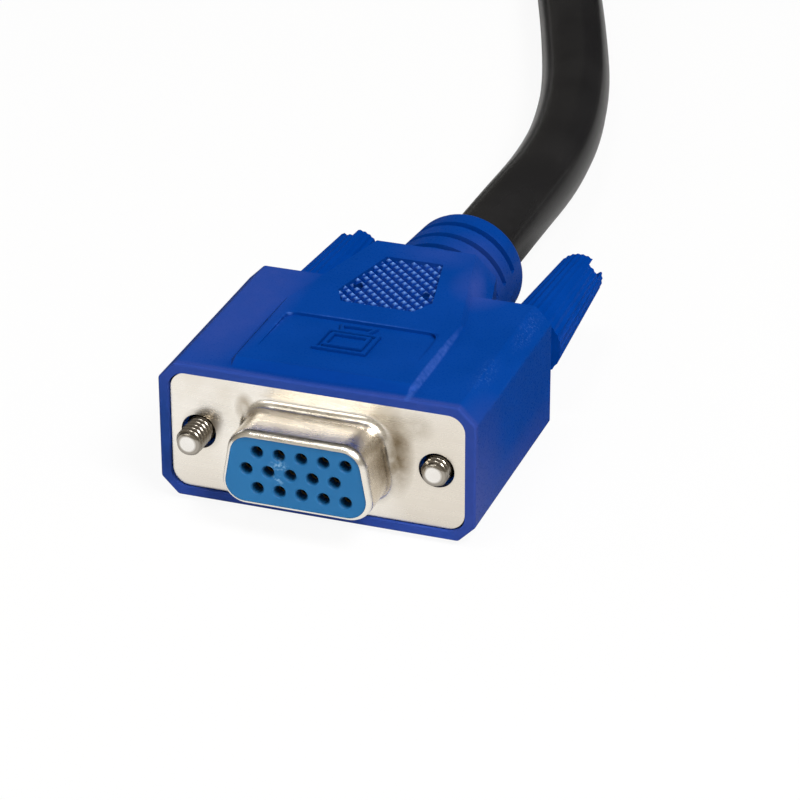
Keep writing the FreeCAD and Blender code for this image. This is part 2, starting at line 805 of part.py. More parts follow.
def make_tube(node, points):
    """A plain round cable along straight runs joined by the largest tangent arcs that fit."""
    edges, start, length = [], points[0], 0.0
    for place in range(1, len(points) - 1):
        corner = points[place]
        ahead, behind = points[place + 1] - corner, points[place - 1] - corner
        half_turn = (math.pi - ahead.getAngle(behind)) / 2
        trim = BEND_SHARE * min(ahead.Length, behind.Length)
        radius = trim / math.tan(half_turn)
        first = corner + behind * (trim / behind.Length)
        last = corner + ahead * (trim / ahead.Length)
        inward = (first + last) * 0.5 - corner
        sagitta = radius / math.cos(half_turn) - radius
        middle = corner + inward * (sagitta / inward.Length)
        edges += [Part.LineSegment(start, first).toShape(), Part.Arc(first, middle, last).toShape()]
        start = last
        print(f"{node}: bend radius {radius:.0f} mm")
    edges.append(Part.LineSegment(start, points[-1]).toShape())
    path = Part.Wire(edges)
    heading = points[1] - points[0]
    section = Part.Wire([Part.makeCircle(number("cable_radius"), points[0], heading)])
    tube = path.makePipeShell([section], True, True)
    expected = math.pi * number("cable_radius") ** 2 * path.Length
    print(f"{node}: {path.Length:.1f} mm long, volume {tube.Volume / expected:.4f} of section times length")
    item = doc.addObject("Part::Feature", "Cable")
    item.Shape = tube
    item.Placement = FreeCAD.Placement(Vector(0, -number("frame_middle"), 0), FreeCAD.Rotation())
    item.Label = node
    pieces.append(item)


def stadium(radius, height, low):
    """An upright block with two straight sides and two round ends, as wide as twice the radius."""
    middle, near_end, run = number("hank_centre"), number("hank_near"), number("hank_run")
    box = Part.makeBox(2 * radius, run, height, Vector(middle - radius, near_end, low))
    ends = [
        Part.makeCylinder(radius, height, Vector(middle, place, low)) for place in (near_end, near_end + run)
    ]
    return box.fuse(ends).removeSplitter()


def make_hank():
    """The outer shape of the put-away cable: three layers, two strands wide, in a long loop."""
    strand = number("2 * cable_radius")
    fold, height, low = number("hank_fold_radius"), number(STRANDS_HIGH), number("tie_thick")
    outside = stadium(fold + 1.5 * strand, height, low)
    inside = stadium(fold - 0.5 * strand, height, low)
    item = doc.addObject("Part::Feature", "Hank")
    item.Shape = outside.cut(inside)
    item.Placement = FreeCAD.Placement(Vector(0, -number("frame_middle"), 0), FreeCAD.Rotation())
    item.Label = "cable_hank"
    pieces.append(item)


def make_tie():
    """A flat band round both strands of the hank's far side."""
    body = new_body("Tie")
    left = "hank_centre + hank_fold_radius - cable_radius"
    right = "hank_centre + hank_fold_radius + 3 * cable_radius"
    top = HANK_TOP
    outside = [
        (f"{left} - tie_thick", "0"),
        (f"{right} + tie_thick", "0"),
        (f"{right} + tie_thick", f"{top} + tie_thick"),
        (f"{left} - tie_thick", f"{top} + tie_thick"),
    ]
    inside = [(left, "tie_thick"), (right, "tie_thick"), (right, top), (left, top)]
    pad(body, polygon(body, "XZ_Plane", outside), "tie_width")
    pocket(body, polygon(body, "XZ_Plane", inside), "tie_width + 1")
    body.Placement = FreeCAD.Placement(Vector(0, number("tie_place - frame_middle"), 0), FreeCAD.Rotation())
    body.Label = "hank_tie"
    pieces.append(body)


def make_cable():
    """The lying run, the hank, its tie, and the lead that climbs to the plug on top."""
    level, floor = number(f"{AXIS_HEIGHT} - boot_drop"), number("cable_radius")
    raised = number("tie_thick + cable_radius")
    run = [
        Vector(0, number("tail_end"), level),
        Vector(0, 58, level),
        Vector(-1.2, 82, 5.4),
        Vector(-5.5, 104, 4.45),
        Vector(-12.2, 126, floor),
        Vector(-20.3, 148, 4.55),
        Vector(-24.5, 170, raised),
        Vector(-24.5, 190, raised),
    ]
    make_tube("cable_run", run)
    make_hank()
    make_tie()
    across = number("plug_across")
    top_strand = number(f"{HANK_TOP} - cable_radius")
    plug_level = number(f"{HANK_TOP} + {AXIS_HEIGHT} - boot_drop")
    lead = [
        Vector(across, 172, top_strand),
        Vector(across, 190, top_strand),
        Vector(across, 220, plug_level),
        Vector(across, number("plug_along - tail_end"), plug_level),
    ]
    make_tube("cable_lead", lead)


def make_socket_end():
    """The end in use: a dressed moulding round a 15-way socket."""
    make_hood(near, dressed=True)
    make_front_shell(near, "nose_width", "nose_height")
    make_rear_shell(near)
    make_front_insulator(near, "nose_width", "nose_height", "nose_length - face_sink", socket=True)
    make_rear_insulator(near)
    make_contacts(near, socket=True)
    make_inner_mould(near)
    make_thumbscrew(near, "left", -1, "left_reach", "left_slot_turn")
    make_thumbscrew(near, "right", 1, "right_reach", "right_slot_turn")


def make_plug_end():
    """The other end: a plain moulding round the matching 15-way plug."""
    make_hood(far, dressed=False)
    make_front_shell(far, "plug_nose_width", "plug_nose_height")
    make_rear_shell(far)
    make_front_insulator(far, "plug_nose_width", "plug_nose_height", "plug_face", socket=False)
    make_rear_insulator(far)
    make_contacts(far, socket=False)
    make_inner_mould(far)
    make_thumbscrew(far, "left", -1, "plug_reach", "plug_slot_turn")
    make_thumbscrew(far, "right", 1, "plug_reach", "plug_slot_turn")


def export_pieces():
    """See that every object is sound, then write each sub-part's file."""
    doc.recompute()
    for item in doc.Objects:
        if "Invalid" in item.State or "Error" in item.State:
            raise ValueError(f"{item.Name} ({item.Label}) failed: {item.State}")
    for item in pieces:
        if item.Shape.isNull() or not item.Shape.isValid() or not item.Shape.Solids:
            raise ValueError(f"{item.Label} has no sound solid")
    os.makedirs("parts", exist_ok=True)
    for item in pieces:
        item.Shape.exportStep(f"parts/{item.Label}.step")
        box = item.Shape.BoundBox
        print(
            f"{item.Label}: {len(item.Shape.Solids)} solid, {len(item.Shape.Faces)} faces, "
            f"x {box.XMin:.2f} to {box.XMax:.2f}, y {box.YMin:.2f} to {box.YMax:.2f}, "
            f"z {box.ZMin:.2f} to {box.ZMax:.2f}"
        )


make_socket_end()
make_cable()
make_plug_end()
export_pieces()
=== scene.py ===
"""Finishes, threads, cable and studio for a 15-way video cable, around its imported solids.

Places are in metres in the model's own frame, apart from those of marks, which are in millimetres.
The socket end's middle is the origin, its cable leaves towards +Y, and the floor is z = 0.
"""

from __future__ import annotations

import json
import logging
import math
from dataclasses import dataclass
from enum import Enum
from typing import Sequence

import bmesh
import bpy
from mathutils import Matrix, Vector

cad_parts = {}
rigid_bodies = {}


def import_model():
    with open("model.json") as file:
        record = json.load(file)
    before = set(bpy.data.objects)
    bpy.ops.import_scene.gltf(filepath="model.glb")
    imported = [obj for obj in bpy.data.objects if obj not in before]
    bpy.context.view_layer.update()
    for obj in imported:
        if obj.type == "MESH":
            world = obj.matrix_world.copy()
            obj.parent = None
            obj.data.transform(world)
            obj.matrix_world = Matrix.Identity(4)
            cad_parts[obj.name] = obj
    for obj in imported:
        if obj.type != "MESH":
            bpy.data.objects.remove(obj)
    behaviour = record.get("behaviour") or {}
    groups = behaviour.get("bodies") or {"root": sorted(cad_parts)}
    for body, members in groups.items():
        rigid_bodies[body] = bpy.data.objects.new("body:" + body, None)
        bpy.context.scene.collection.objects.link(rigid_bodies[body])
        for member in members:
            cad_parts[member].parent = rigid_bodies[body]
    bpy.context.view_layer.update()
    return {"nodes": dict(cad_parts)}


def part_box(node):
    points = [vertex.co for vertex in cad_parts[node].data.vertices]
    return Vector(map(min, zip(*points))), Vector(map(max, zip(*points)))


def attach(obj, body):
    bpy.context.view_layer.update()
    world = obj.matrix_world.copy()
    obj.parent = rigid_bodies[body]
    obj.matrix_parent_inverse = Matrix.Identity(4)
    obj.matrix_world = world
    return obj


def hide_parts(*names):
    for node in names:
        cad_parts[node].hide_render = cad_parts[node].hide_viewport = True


LOG = logging.getLogger("video_cable")

Colour = tuple[float, float, float]
Triple = tuple[float, float, float]
Box = tuple[float, float, float, float]
Pair = tuple[float, float]
NodeSocket = bpy.types.NodeSocket

MM = 0.001
# The painted shade that a screw's mesh carries: 0 on its bare end, half on crests and shank, and
# 1, its darkest, in the thread's groove.
SHADE_ATTRIBUTE = "screw_shade"
HALF_SHADE = 0.45
# Most of a noise's values lie in this range.
NOISE_RANGE: Pair = (0.3, 0.7)
# A wave texture of scale 1 runs through this many radians in a metre.
WAVE_RADIANS = 20.0
# A mix node's colours go by number, because its other kinds' sockets have the same names.
MIX_FIRST, MIX_SECOND, MIX_RESULT = 6, 7, 2


class Facing(Enum):
    """Which way a connector's nose points along Y."""

    NEAR = -1
    FAR = 1


class NodeBench:
    """Adds and joins the nodes of one tree."""

    def __init__(self, tree: bpy.types.NodeTree) -> None:
        """Start with the nodes that the tree has.

        Args:
            tree: the tree.
        """
        self.tree: bpy.types.NodeTree = tree

    def add(self, kind: str, **inputs: object) -> bpy.types.Node:
        """Add a node and set its inputs.

        Args:
            kind: the node's type.
            inputs: values of inputs, by name with underscores for spaces.

        Returns:
            The new node.
        """
        node = self.tree.nodes.new(kind)
        self.fill(node, **inputs)
        return node

    @staticmethod
    def fill(node: bpy.types.Node, **inputs: object) -> None:
        """Set constant inputs of a node, by name with underscores for spaces."""
        for word, value in inputs.items():
            node.inputs[word.replace("_", " ")].default_value = value

    def link(self, source: NodeSocket, target: NodeSocket) -> None:
        """Join two sockets."""
        self.tree.links.new(source, target)

    def axes(self, place: NodeSocket) -> dict[str, NodeSocket]:
        """Part a vector into its axes.

        Args:
            place: the vector.

        Returns:
            The values by axis.
        """
        node = self.add("ShaderNodeSeparateXYZ")
        self.link(place, node.inputs["Vector"])
        return {axis: node.outputs[axis] for axis in "XYZ"}

    def ramp(self, value: NodeSocket, span: Pair, ends: Pair = (0.0, 1.0)) -> NodeSocket:
        """Map a range of a value to another, and hold it beyond both ends.

        Args:
            value: the value.
            span: the range of the value.
            ends: what the ends of that range turn into.

        Returns:
            The mapped value.
        """
        node = self.add("ShaderNodeMapRange", From_Min=span[0], From_Max=span[1])
        self.fill(node, To_Min=ends[0], To_Max=ends[1])
        self.link(value, node.inputs["Value"])
        return node.outputs["Result"]

    def joined(self, operation: str, *terms: NodeSocket | float) -> NodeSocket:
        """Join values by arithmetic.

        Args:
            operation: the name of the operation.
            terms: sockets or constants, in order.

        Returns:
            The result.
        """
        node = self.add("ShaderNodeMath")
        node.operation = operation
        for place, term in zip(node.inputs, terms):
            if isinstance(term, NodeSocket):
                self.link(term, place)
            else:
                place.default_value = term
        return node.outputs["Value"]

    def times(self, first: NodeSocket, second: NodeSocket | float) -> NodeSocket:
        """Multiply two values."""
        return self.joined("MULTIPLY", first, second)

    def larger(self, first: NodeSocket, second: NodeSocket) -> NodeSocket:
        """Give the larger of two values."""
        return self.joined("MAXIMUM", first, second)

    def overlay(self, share: NodeSocket, below: NodeSocket, above: NodeSocket) -> NodeSocket:
        """Lay one shader over another.

        Args:
            share: the upper shader's share.
            below: the lower shader.
            above: the upper shader.

        Returns:
            The joined shader.
        """
        mix = self.add("ShaderNodeMixShader")
        for source, target in zip((share, below, above), mix.inputs):
            self.link(source, target)
        return mix.outputs["Shader"]


class ShaderBench(NodeBench):
    """Adds and joins the shader nodes of one material."""

    def __init__(self, name: str) -> None:
        """Start a material with a plain principled shader.

        Args:
            name: the material's name.
        """
        self.material: bpy.types.Material = bpy.data.materials.new(name)
        self.material.use_nodes = True
        super().__init__(self.material.node_tree)
        self.shader: bpy.types.Node = self.tree.nodes["Principled BSDF"]
        self.place: NodeSocket = self.add("ShaderNodeTexCoord").outputs["Object"]

    def feed(self, word: str, value: NodeSocket) -> None:
        """Lead a value into one of the shader's inputs."""
        self.link(value, self.shader.inputs[word])

    def noise(self, scale: float, detail: float, stretch: Triple = (1, 1, 1)) -> NodeSocket:
        """Add a noise that is fixed to the piece.

        Args:
            scale: how many cells to a metre.
            detail: how many finer octaves it has.
            stretch: how the piece's axes are scaled before it.

        Returns:
            The noise's factor.
        """
        texture = self.add("ShaderNodeTexNoise", Scale=scale, Detail=detail)
        mapping = self.add("ShaderNodeMapping", Scale=stretch)
        self.link(self.place, mapping.inputs["Vector"])
        self.link(mapping.outputs["Vector"], texture.inputs["Vector"])
        return texture.outputs["Fac"]

    def roughen(self, factor: NodeSocket, middle: float, change: Pair) -> None:
        """Vary the surface's roughness by a noise.

        Args:
            factor: the noise.
            middle: the roughness that is varied.
            change: what is added to it at the noise's dark and light ends.
        """
        ends = (middle + change[0], middle + change[1])
        self.feed("Roughness", self.ramp(factor, NOISE_RANGE, ends))

    def tint(self, factor: NodeSocket, span: Pair, first: Colour, last: Colour) -> NodeSocket:
        """Turn a factor into a fade between two colours.

        Args:
            factor: the factor.
            span: where the fade starts and ends.
            first: the colour up to its start.
            last: the colour from its end.

        Returns:
            The colour.
        """
        fade = self.add("ShaderNodeValToRGB")
        for stop, place, colour in zip(fade.color_ramp.elements, span, (first, last)):
            stop.position = place
            stop.color = (*colour, 1)
        self.link(factor, fade.inputs["Fac"])
        return fade.outputs["Color"]

    def cover(self, share: NodeSocket, below: NodeSocket, paint: NodeSocket | Colour) -> NodeSocket:
        """Lay a colour over another.

        Args:
            share: the upper colour's share.
            below: the lower colour.
            paint: the upper colour, from a node or plain.

        Returns:
            The joined colour.
        """
        mix = self.add("ShaderNodeMix")
        mix.data_type = "RGBA"
        self.link(share, mix.inputs["Factor"])
        self.link(below, mix.inputs[MIX_FIRST])
        if isinstance(paint, NodeSocket):
            self.link(paint, mix.inputs[MIX_SECOND])
        else:
            mix.inputs[MIX_SECOND].default_value = (*paint, 1)
        return mix.outputs[MIX_RESULT]

    def bump(self, *layers: tuple[NodeSocket, float]) -> None:
        """Lay height fields over each other as the surface's normal.

        Args:
            layers: height factors, each with its height in metres.
        """
        below = None
        for height, distance in layers:
            node = self.add("ShaderNodeBump", Strength=1.0, Distance=distance)
            self.link(height, node.inputs["Height"])
            if below is not None:
                self.link(below, node.inputs["Normal"])
            below = node.outputs["Normal"]
        if below is not None:
            self.feed("Normal", below)


@dataclass(frozen=True)
class TeethHighlightAndShade:
    """A box in the piece's own frame whose teeth get a painted highlight on their tips and
    painted shade at their feet.

    The colour turns from foot to tip between two shares of the box's height. Walls whose upright
    part of the normal is under the least one keep the piece's own colour.
    """

    low: Triple
    high: Triple
    tip: Colour
    foot: Colour
    turns: Pair = (0.42, 0.88)
    least_upright: float = 0.35

    def over(self, bench: ShaderBench, colour: NodeSocket) -> NodeSocket:
        """Lay the painted highlight and shade over a colour.

        Args:
            bench: the material's nodes.
            colour: the colour of the rest of the surface.

        Returns:
            The joined colour.
        """
        place = bench.axes(bench.place)
        normal = bench.axes(bench.add("ShaderNodeTexCoord").outputs["Normal"])
        mask = bench.joined("GREATER_THAN", normal["Z"], self.least_upright)
        for axis, low, high in zip("XYZ", self.low, self.high):
            within = bench.joined("COMPARE", place[axis], (low + high) / 2, (high - low) / 2)
            mask = bench.times(mask, within)
        rise = bench.ramp(place["Z"], (self.low[2], self.high[2]))
        teeth = bench.tint(rise, self.turns, self.foot, self.tip)
        return bench.cover(mask, colour, teeth)


@dataclass(frozen=True)
class Mark:
    """A soft, blotched patch of lighter or darker colour round a point in the piece's own frame;
    most are painted shade, sheen or highlight.

    Its centre and reach are in millimetres. It is strongest in its core, a share of its reach, and
    fades out at its reach. Blotches of its grain weaken it to its least strength, and one below 0
    leaves bare patches.
    """

    centre: Triple
    reach: Triple
    colour: Colour
    grain: float = 700.0
    least: float = 0.45
    core: float = 0.35

    def over(self, bench: ShaderBench, colour: NodeSocket) -> NodeSocket:
        """Lay the mark over a colour.

        Args:
            bench: the material's nodes.
            colour: the colour under the mark.

        Returns:
            The marked colour.
        """
        scale = [1 / (reach * MM) for reach in self.reach]
        offset = [-place / reach for place, reach in zip(self.centre, self.reach)]
        mapping = bench.add("ShaderNodeMapping", Location=offset, Scale=scale)
        bench.link(bench.place, mapping.inputs["Vector"])
        away = bench.add("ShaderNodeVectorMath")
        away.operation = "LENGTH"
        bench.link(mapping.outputs["Vector"], away.inputs[0])
        near = bench.ramp(away.outputs["Value"], (1.0, self.core))
        blotch = bench.ramp(bench.noise(self.grain, detail=3), NOISE_RANGE, (self.least, 1.0))
        return bench.cover(bench.times(near, blotch), colour, self.colour)


@dataclass(frozen=True)
class SoftVinyl:
    """Soft moulded or extruded plastic with a fine grain, and flow marks if they have a height.

    The flow marks' scale and height are given as multiples of the clouds' scale and the grain's
    height.
    """

    name: str
    colour: Colour
    shade: Colour
    roughness: float = 0.45
    specular: float = 0.25
    grain_scale: float = 5200.0
    grain_height: float = 0.00002
    grain_detail: float = 2
    cloud_scale: float = 160.0
    cloud_span: Pair = (0.35, 0.65)
    cloud_detail: float = 3
    rough_change: Pair = (-0.06, 0.08)
    flow_scale: float = 4.0
    flow_height: float = 1.5
    # Painted highlight and shade on raised teeth, if any.
    tooth_shading: TeethHighlightAndShade | None = None
    marks: tuple[Mark, ...] = ()

    def material(self) -> bpy.types.Material:
        """Build the material.

        Returns:
            The material.
        """
        bench = ShaderBench(self.name)
        bench.fill(bench.shader, Specular_IOR_Level=self.specular)
        clouds = bench.noise(self.cloud_scale, self.cloud_detail)
        colour = bench.tint(clouds, self.cloud_span, self.shade, self.colour)
        if self.tooth_shading is not None:
            colour = self.tooth_shading.over(bench, colour)
        for mark in self.marks:
            colour = mark.over(bench, colour)
        bench.feed("Base Color", colour)
        grain = bench.noise(self.grain_scale, self.grain_detail)
        bench.roughen(grain, self.roughness, self.rough_change)
        layers = [(grain, self.grain_height)]
        if self.flow_height > 0:
            flow = bench.noise(self.cloud_scale * self.flow_scale, detail=2)
            layers.insert(0, (flow, self.grain_height * self.flow_height))
        bench.bump(*layers)
        return bench.material


@dataclass(frozen=True)
class PlatedMetal:
    """Bright plating over stamped or turned metal, with faint smudges and drawing lines.

    The drawing lines' height is given as a share of the peel's. The painted shade, dull and in the
    groove dark, goes by the shade value that a piece's own mesh carries.
    """

    name: str
    colour: Colour
    smudge: Colour
    roughness: float = 0.22
    smudge_scale: float = 240.0
    smudge_span: Pair = (0.3, 0.62)
    rough_change: Pair = (-0.03, 0.06)
    line_stretch: Triple = (260.0, 1600.0, 2200.0)
    line_height: float = 0.2
    peel_scale: float = 900.0
    peel_height: float = 0.000006
    # Painted shade: the colour of a screw's crests and shank, and the darker one of its thread's
    # groove.
    body_shade: Colour | None = None
    groove: Colour = (0.055, 0.046, 0.034)
    marks: tuple[Mark, ...] = ()

    def material(self) -> bpy.types.Material:
        """Build the material.

        Returns:
            The material.
        """
        bench = ShaderBench(self.name)
        bench.fill(bench.shader, Metallic=1.0)
        smudges = bench.noise(self.smudge_scale, detail=4)
        colour = bench.tint(smudges, self.smudge_span, self.smudge, self.colour)
        # Painted shade from the mesh's shade value, dull on crests and shank and dark in the
        # groove.
        if self.body_shade is not None:
            screw_shade = bench.add("ShaderNodeAttribute")
            screw_shade.attribute_name = SHADE_ATTRIBUTE
            for paint, span in ((self.body_shade, (0.0, HALF_SHADE)), (self.groove, (HALF_SHADE, 1.0))):
                colour = bench.cover(bench.ramp(screw_shade.outputs["Fac"], span), colour, paint)
        for mark in self.marks:
            colour = mark.over(bench, colour)
        bench.feed("Base Color", colour)
        lines = bench.noise(1.0, detail=3, stretch=self.line_stretch)
        bench.roughen(lines, self.roughness, self.rough_change)
        peel = bench.noise(self.peel_scale, detail=2)
        bench.bump((peel, self.peel_height), (lines, self.peel_height * self.line_height))
        return bench.material


@dataclass(frozen=True)
class WovenBand:
    """A close black weave."""

    name: str
    colour: Colour
    shade: Colour
    roughness: float = 0.8
    specular: float = 0.2
    sheen: float = 0.25
    thread: float = 0.00045
    thread_height: float = 0.00006
    waver: float = 0.4
    fuzz_scale: float = 4000.0
    fuzz_height: float = 0.00004

    def material(self) -> bpy.types.Material:
        """Build the material.

        Returns:
            The material.
        """
        bench = ShaderBench(self.name)
        bench.fill(bench.shader, Specular_IOR_Level=self.specular, Roughness=self.roughness)
        bench.fill(bench.shader, Sheen_Weight=self.sheen)
        scale = 2 * math.pi / self.thread / WAVE_RADIANS
        layers = []
        for direction in ("Y", "Z"):
            wave = bench.add("ShaderNodeTexWave", Scale=scale, Distortion=self.waver)
            wave.bands_direction = direction
            bench.link(bench.place, wave.inputs["Vector"])
            layers.append((wave.outputs["Fac"], self.thread_height))
        fuzz = bench.noise(self.fuzz_scale, detail=3)
        bench.feed("Base Color", bench.tint(fuzz, NOISE_RANGE, self.shade, self.colour))
        bench.bump(*layers, (fuzz, self.fuzz_height))
        return bench.material


Finish = SoftVinyl | PlatedMetal | WovenBand

# Painted highlight on the knurl's tooth tips and painted shade at their feet, on upward walls only.
KNURL_HIGHLIGHT_AND_SHADE = TeethHighlightAndShade(
    low=(-0.0052, -0.0037, 0.01514),
    high=(0.0052, 0.0086, 0.01567),
    tip=(0.16, 0.34, 0.80),
    foot=(0.0, 0.028, 0.215),
)
# Painted sheen, highlight and shade on the hood. Later marks lie over earlier ones.
HOOD_PAINTED_LIGHT = (
    # Painted violet sheen: front rim, right side in front and below, neck, boot, left shoulder.
    Mark((0.0, -21.6, 7.4), (100.0, 1.3, 100.0), (0.028, 0.06, 0.295), least=0.75, core=0.6),
    Mark((16.6, -20.5, 4.0), (3.0, 9.0, 14.0), (0.03, 0.058, 0.275), least=0.8, core=0.1),
    Mark((16.6, -6.0, 1.0), (3.0, 18.0, 5.5), (0.03, 0.058, 0.27), least=0.8, core=0.1),
    Mark((8.5, 5.5, 15.1), (4.2, 6.5, 1.2), (0.03, 0.068, 0.33), least=0.7, core=0.3),
    Mark((5.0, 15.5, 12.5), (6.0, 8.0, 4.0), (0.02, 0.06, 0.305), least=0.7, core=0.3),
    Mark((-13.5, -6.0, 14.9), (6.5, 22.0, 2.0), (0.024, 0.061, 0.305), least=0.7, core=0.4),
    # Painted sheen behind the pad and on the front lip's top; painted shade and sheen on its left.
    Mark((2.0, 10.5, 15.5), (6.0, 4.0, 1.5), (0.014, 0.058, 0.31), least=0.7, core=0.2),
    Mark((-4.0, -21.3, 14.3), (13.0, 1.2, 1.2), (0.023, 0.062, 0.3), least=0.7),
    Mark((-16.1, -21.3, 7.5), (1.2, 1.2, 7.5), (0.014, 0.048, 0.225), least=0.8),
    # Painted shade along the spine's left edge.
    Mark((-9.52, -12.5, 15.42), (0.6, 9.5, 0.6), (0.0008, 0.03, 0.2), core=0.5),
    # Painted highlight along the panel's rear edge and on its left rear corner.
    Mark((0.0, -7.32, 15.73), (8.4, 0.16, 0.1), (0.035, 0.115, 0.45), grain=1500.0, least=0.2),
    Mark((-7.7, -7.9, 15.7), (0.5, 0.3, 0.3), (0.05, 0.14, 0.5)),
    # Painted shade on the spine's front slope.
    Mark((0.0, -19.6, 15.3), (12.0, 1.7, 0.9), (0.0015, 0.039, 0.262), least=0.8, core=0.6),
    # Painted highlight, broken into streaks, on the panel's left edge, and painted shade on its
    # right edge and right rear corner.
    Mark((-8.1, -10.5, 15.6), (0.28, 3.0, 0.4), (0.02, 0.09, 0.42), grain=2500.0, least=-0.6),
    Mark((8.1, -10.7, 15.6), (0.3, 3.5, 0.4), (0.0005, 0.026, 0.19)),
    Mark((7.8, -7.8, 15.5), (0.6, 0.5, 0.5), (0.0003, 0.02, 0.16)),
    # Painted shade in the finger pad's two pits.
    *(
        Mark((across, 1.1, 15.3), (0.7, 0.7, 0.9), (0.0, 0.012, 0.1), least=0.9, core=0.6)
        for across in (-3.72, 3.72)
    ),
    # Painted highlight along the spine's right edge.
    Mark((9.52, -15.5, 15.42), (0.52, 11.5, 0.52), (0.036, 0.1, 0.42), 1800.0, least=0.2, core=0.6),
    # Painted highlight in specks on the right bevel, behind and in front.
    Mark((15.7, -1.0, 14.9), (1.2, 7.0, 1.4), (0.035, 0.105, 0.39), grain=4200.0, least=-1.3),
    Mark((15.0, -13.5, 15.1), (1.4, 5.0, 1.2), (0.03, 0.10, 0.38), grain=4200.0, least=-1.5),
)
HOOD_BLUE = SoftVinyl(
    "moulded_blue",
    (0.002, 0.05, 0.30),
    (0.001, 0.045, 0.275),
    roughness=0.3,
    specular=0.018,
    grain_height=0.000012,
    tooth_shading=KNURL_HIGHLIGHT_AND_SHADE,
    marks=HOOD_PAINTED_LIGHT,
)
# Painted sheen on the right grip's side.
GRIP_SHEEN = (
    Mark((16.8, 14.0, 8.5), (1.3, 14.0, 3.0), (0.026, 0.068, 0.33), grain=1200.0, least=0.1),
)
GRIP_BLUE = SoftVinyl(
    "grip_blue",
    (0.001, 0.05, 0.32),
    (0.0, 0.045, 0.295),
    roughness=0.32,
    specular=0.01,
    marks=GRIP_SHEEN,
)
FACE_SHADE_AND_SCUFFS = (
    # Painted shade on the walls of the holes, then two pale scuffs between holes.
    Mark((0.0, -25.75, 7.4), (100.0, 1.0, 100.0), (0.005, 0.072, 0.19), least=0.9, core=0.88),
    Mark((-1.7, -26.5, 8.7), (1.2, 3.0, 0.8), (0.20, 0.40, 0.62), grain=3200.0, least=-0.9),
    Mark((-1.9, -26.5, 7.1), (0.8, 3.0, 0.7), (0.20, 0.40, 0.62), grain=3200.0, least=-0.9),
)
FACE_BLUE = SoftVinyl(
    "face_blue",
    (0.0165, 0.152, 0.375),
    (0.014, 0.14, 0.35),
    roughness=0.5,
    specular=0.2,
    grain_scale=7000.0,
    grain_height=0.000008,
    marks=FACE_SHADE_AND_SCUFFS,
)
CORE_WHITE = SoftVinyl("core_white", (0.72, 0.71, 0.66), (0.66, 0.65, 0.6), roughness=0.5)
# Painted shade and dark reflections on the plated shell, and darker patches on the flange's ends.
SHELL_SHADE_AND_DARKENING = (
    # The flange's right end and the lower part of its left end.
    Mark((12.5, -21.0, 5.5), (6.8, 2.0, 12.0), (0.79, 0.725, 0.63), least=0.85, core=0.5),
    Mark((-12.5, -21.0, 2.0), (6.0, 2.0, 5.0), (0.84, 0.78, 0.69), least=0.85, core=0.3),
    # Painted dark reflection beside the nose: at its right foot, above that, and at its left foot.
    Mark((8.5, -22.0, 8.8), (1.9, 6.0, 5.0), (0.23, 0.175, 0.105)),
    Mark((10.4, -21.0, 12.2), (2.2, 1.5, 1.8), (0.62, 0.56, 0.47)),
    Mark((-7.5, -21.5, 11.3), (1.2, 5.0, 1.8), (0.40, 0.33, 0.24)),
    # Painted shade round the left and the right screw's hole, and along the nose's upper foot.
    Mark((-12.1, -21.0, 8.2), (2.3, 0.8, 2.4), (0.36, 0.31, 0.24)),
    Mark((12.5, -21.0, 7.9), (2.2, 0.8, 2.2), (0.5, 0.45, 0.37)),
    Mark((0.0, -21.5, 11.9), (8.5, 0.9, 0.8), (0.52, 0.46, 0.36)),
)
NICKEL = PlatedMetal(
    "nickel_plate", (0.94, 0.89, 0.81), (0.85, 0.79, 0.69), roughness=0.26, marks=SHELL_SHADE_AND_DARKENING
)
# The screw's dull colour and its groove's are painted shade; its end keeps the bright plating.
SCREW_STEEL = PlatedMetal(
    "bright_steel", (0.92, 0.89, 0.84), (0.84, 0.8, 0.74), roughness=0.2, body_shade=(0.38, 0.345, 0.295)
)
SPRING_STEEL = PlatedMetal("spring_steel", (0.45, 0.44, 0.43), (0.36, 0.35, 0.34), roughness=0.35)
# The contacts are painted dark as shade, so that the holes holding them read dark.
SHADED_CONTACT_GOLD = PlatedMetal("shaded_contact_gold", (0.14, 0.095, 0.04), (0.10, 0.07, 0.03), roughness=0.45)
JACKET_BLACK = SoftVinyl(
    "cable_black",
    (0.021, 0.0205, 0.021),
    (0.0145, 0.0142, 0.0148),
    roughness=0.18,
    specular=0.09,
    grain_scale=2600.0,
    grain_height=0.0000015,
    grain_detail=3,
    cloud_scale=120.0,
    cloud_span=(0.4, 0.75),
    cloud_detail=4,
    rough_change=(-0.02, 0.03),
    flow_height=0.0,
)
STRAP_BLACK = WovenBand("strap_black", (0.028, 0.028, 0.03), (0.012, 0.012, 0.013))


def new_object(name: str, data: bpy.types.ID) -> bpy.types.Object:
    """Add an object to the scene.

    Args:
        name: the object's name.
        data: its mesh, curve, camera or lamp.

    Returns:
        The new object.
    """
    piece = bpy.data.objects.new(name, data)
    bpy.context.scene.collection.objects.link(piece)
    return piece


def link_mesh(name: str, mesh: bmesh.types.BMesh, smooth_angle: float = 40.0) -> bpy.types.Object:
    """Turn a bmesh into a shaded object of the scene.

    Args:
        name: the piece's name.
        mesh: the shape, which is freed.
        smooth_angle: the angle in degrees under which edges are shaded smooth.

    Returns:
        The new object.
    """
    bmesh.ops.recalc_face_normals(mesh, faces=mesh.faces)
    data = bpy.data.meshes.new(name)
    mesh.to_mesh(data)
    mesh.free()
    data.shade_smooth()
    data.set_sharp_from_angle(angle=math.radians(smooth_angle))
    return new_object(name, data)


